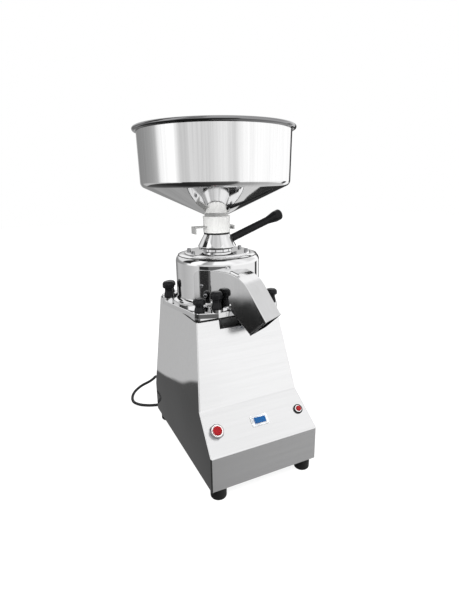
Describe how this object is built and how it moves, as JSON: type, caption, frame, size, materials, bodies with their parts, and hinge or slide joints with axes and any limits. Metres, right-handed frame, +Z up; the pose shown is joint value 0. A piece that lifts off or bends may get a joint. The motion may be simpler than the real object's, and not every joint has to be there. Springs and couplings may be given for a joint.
{
  "type": "domestic flour mill",
  "caption": "Upright electric grain mill: tapered cabinet on rubber feet, grinding drum with adjusting lever, curved side chute, feed gate and round steel hopper.",
  "frame": {"origin": "middle of the footprint on the floor, without the mains lead", "axes": "+Z up, -Y towards the control panel, lever pointing along +X"},
  "size_m": [0.3285, 0.4996, 0.6972],
  "materials": {
    "body_steel": "satin stainless sheet",
    "galvanised": "galvanised sheet",
    "rubber": "matt black rubber",
    "cord_rubber": "black sheath",
    "screw_steel": "bright zinc",
    "polished_steel": "satin polished steel",
    "mirror_steel": "mirror polished stainless steel",
    "turned_steel": "turned steel",
    "chrome": "bright chrome",
    "red_plastic": "glossy red",
    "blue_plastic": "glossy translucent blue",
    "white_plastic": "glossy white",
    "black_plastic": "glossy black phenolic",
    "nylon": "white nylon",
    "cast_iron": "machined cast iron",
    "emery": "rough bonded emery grit",
    "cast_aluminium": "cast aluminium",
    "lamination_steel": "stacked steel sheets",
    "copper": "varnished copper wire",
    "brass": "bright brass"
  },
  "bodies": {
    "stand": {"housing_shell": "body_steel", "rear_cover": "body_steel", "bottom_plate": "galvanised", "rubber_feet": "rubber", "housing_screws": "screw_steel", "top_plate": "polished_steel", "button_bezel": "chrome", "switch_frame": "white_plastic", "reset_body": "black_plastic", "base_flange": "polished_steel", "shaft_seal": "rubber", "chamber_drum": "mirror_steel", "chamber_gasket": "rubber", "chamber_cover": "mirror_steel", "cover_bolts": "screw_steel", "guide_pins": "screw_steel", "clamp_studs": "screw_steel", "discharge_spout": "mirror_steel", "spout_screws": "screw_steel", "motor_shell": "cast_aluminium", "upper_end_shield": "cast_aluminium", "lower_end_shield": "cast_aluminium", "upper_bearing": "screw_steel", "lower_bearing": "screw_steel", "stator_core": "lamination_steel", "stator_windings": "copper", "fan_cover": "galvanised", "motor_bolts": "screw_steel", "run_capacitor": "cast_aluminium", "cable_gland": "black_plastic", "strain_relief": "rubber", "power_cord": "cord_rubber", "cord_coil": "cord_rubber", "mains_plug": "black_plastic", "plug_pins": "brass"},
    "rotor": {"motor_shaft": "turned_steel", "rotor_core": "lamination_steel", "cooling_fan": "black_plastic", "lower_stone_carrier": "cast_iron", "lower_stone": "emery", "stone_nut": "screw_steel"},
    "adjuster": {"adjusting_hub": "mirror_steel", "hub_retaining_ring": "screw_steel", "lever_rod": "turned_steel", "lever_grip": "black_plastic"},
    "stone_carriage": {"upper_stone": "emery", "stone_stem": "turned_steel"},
    "hopper": {"hopper_bowl": "mirror_steel", "feed_collar": "nylon"},
    "gate": {"feed_gate": "nylon"},
    "start_button": {"push_button": "red_plastic"},
    "rocker": {"switch_rocker": "blue_plastic"},
    "overload_button": {"reset_button": "red_plastic"},
    "corner_knob_1_body": {"corner_knob_1": "black_plastic"},
    "corner_knob_2_body": {"corner_knob_2": "black_plastic"},
    "corner_knob_3_body": {"corner_knob_3": "black_plastic"},
    "corner_knob_4_body": {"corner_knob_4": "black_plastic"},
    "drum_knob_1_body": {"drum_knob_1": "black_plastic"},
    "drum_knob_2_body": {"drum_knob_2": "black_plastic"},
    "drum_knob_3_body": {"drum_knob_3": "black_plastic"}
  },
  "joints": [
    {"name": "motor_spin", "type": "hinge", "parent": "stand", "child": "rotor", "pos_m": [0, 0.0264, 0.3], "axis": [0, 0, 1], "continuous": true},
    {"name": "hub_turn", "type": "hinge", "parent": "stand", "child": "adjuster", "pos_m": [0, 0.0264, 0.45], "axis": [0, 0, 1], "range_deg": [-60, 90]},
    {"name": "stone_lift", "type": "slide", "parent": "stand", "child": "stone_carriage", "axis": [0, 0, 1], "range_m": [-0.0007, 0.0011]},
    {"name": "hopper_lift_off", "type": "slide", "parent": "stand", "child": "hopper", "axis": [0, 0, 1], "range_m": [0, 0.15]},
    {"name": "gate_slide", "type": "slide", "parent": "hopper", "child": "gate", "axis": [1, 0, 0], "range_m": [-0.0055, 0.0215]},
    {"name": "start_press", "type": "slide", "parent": "stand", "child": "start_button", "axis": [0, 0.653, -0.7573], "range_m": [0, 0.003], "stiffness_N_per_m": 400, "springref_m": -0.002},
    {"name": "rocker_tip", "type": "hinge", "parent": "stand", "child": "rocker", "pos_m": [0.003, -0.15468, 0.13011], "axis": [0, 0.7573, 0.653], "range_deg": [-18, 0]},
    {"name": "overload_press", "type": "slide", "parent": "stand", "child": "overload_button", "axis": [0, 0.653, -0.7573], "range_m": [0, 0.0025], "stiffness_N_per_m": 400, "springref_m": -0.002},
    {"name": "corner_knob_1_turn", "type": "hinge", "parent": "stand", "child": "corner_knob_1_body", "pos_m": [-0.082, -0.0646, 0.346], "axis": [0, 0, 1], "range_deg": [0, 360]},
    {"name": "corner_knob_2_turn", "type": "hinge", "parent": "stand", "child": "corner_knob_2_body", "pos_m": [0.082, -0.0646, 0.346], "axis": [0, 0, 1], "range_deg": [0, 360]},
    {"name": "corner_knob_3_turn", "type": "hinge", "parent": "stand", "child": "corner_knob_3_body", "pos_m": [-0.082, 0.1174, 0.346], "axis": [0, 0, 1], "range_deg": [0, 360]},
    {"name": "corner_knob_4_turn", "type": "hinge", "parent": "stand", "child": "corner_knob_4_body", "pos_m": [0.082, 0.1174, 0.346], "axis": [0, 0, 1], "range_deg": [0, 360]},
    {"name": "drum_knob_1_turn", "type": "hinge", "parent": "stand", "child": "drum_knob_1_body", "pos_m": [0.02847, 0.13265, 0.352], "axis": [0, 0, 1], "range_deg": [0, 360]},
    {"name": "drum_knob_2_turn", "type": "hinge", "parent": "stand", "child": "drum_knob_2_body", "pos_m": [-0.10424, 0.05827, 0.352], "axis": [0, 0, 1], "range_deg": [0, 360]},
    {"name": "drum_knob_3_turn", "type": "hinge", "parent": "stand", "child": "drum_knob_3_body", "pos_m": [-0.05011, -0.07633, 0.352], "axis": [0, 0, 1], "range_deg": [0, 360]}
  ],
  "couplings": [
    {"joint": "stone_lift", "follows": "hub_turn", "m_per_rad": 0.000637}
  ]
}
